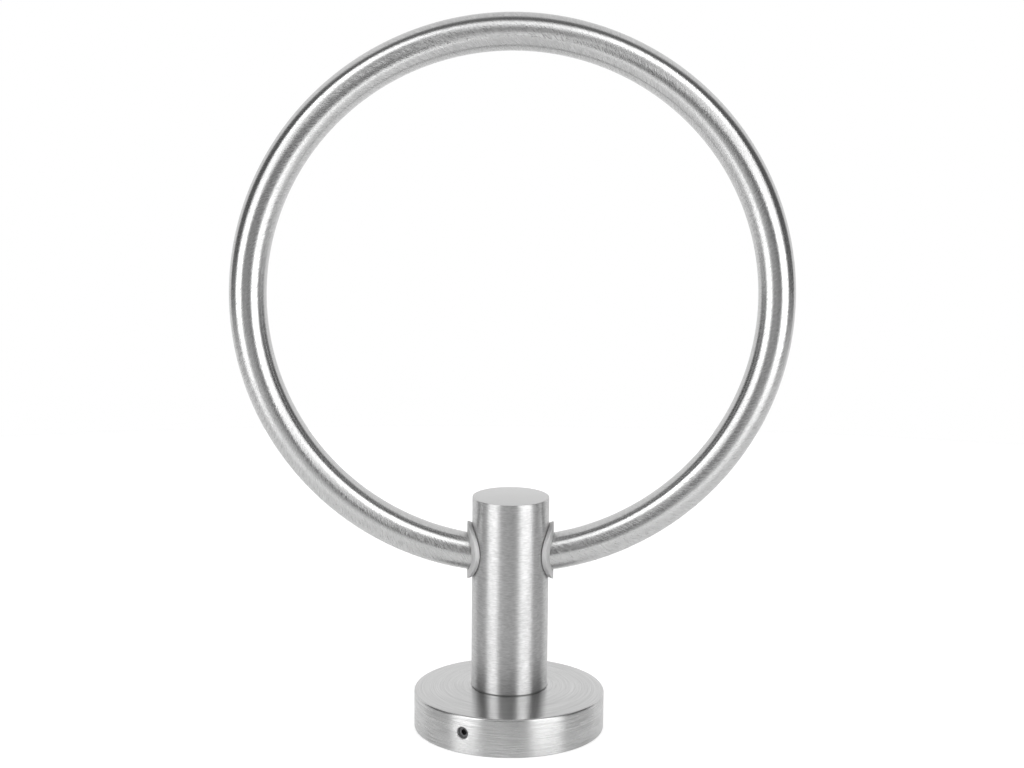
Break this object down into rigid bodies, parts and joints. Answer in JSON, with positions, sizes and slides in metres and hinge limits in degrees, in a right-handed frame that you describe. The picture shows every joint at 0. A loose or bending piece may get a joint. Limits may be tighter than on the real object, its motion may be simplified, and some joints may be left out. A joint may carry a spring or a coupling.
{
  "type": "towel ring",
  "caption": "Brushed stainless towel ring: a bent bar ring clamped through the end of a round post, on a domed round base that covers its wall bracket.",
  "frame": {"origin": "centre of the base's flat wall face", "axes": "+Z out of the wall along the post, ring in the XZ plane, -Y is the picture's front"},
  "size_m": [0.1446, 0.05, 0.1866],
  "materials": {
    "turned_stainless": "fine turned lines round the axis",
    "post_stainless": "fine brushed lines round the bar",
    "ring_stainless": "short brushed lines along the bar",
    "collar_stainless": "satin with bright edges",
    "bracket_stainless": "plain milled",
    "screw_steel": "plain stainless"
  },
  "bodies": {
    "root": {"base_cover": "turned_stainless", "base_set_screw": "screw_steel", "wall_bracket": "bracket_stainless", "post": "post_stainless", "post_screw": "screw_steel", "ring": "ring_stainless", "ring_lock_screw": "screw_steel", "collar_left": "collar_stainless", "collar_right": "collar_stainless"}
  },
  "joints": []
}
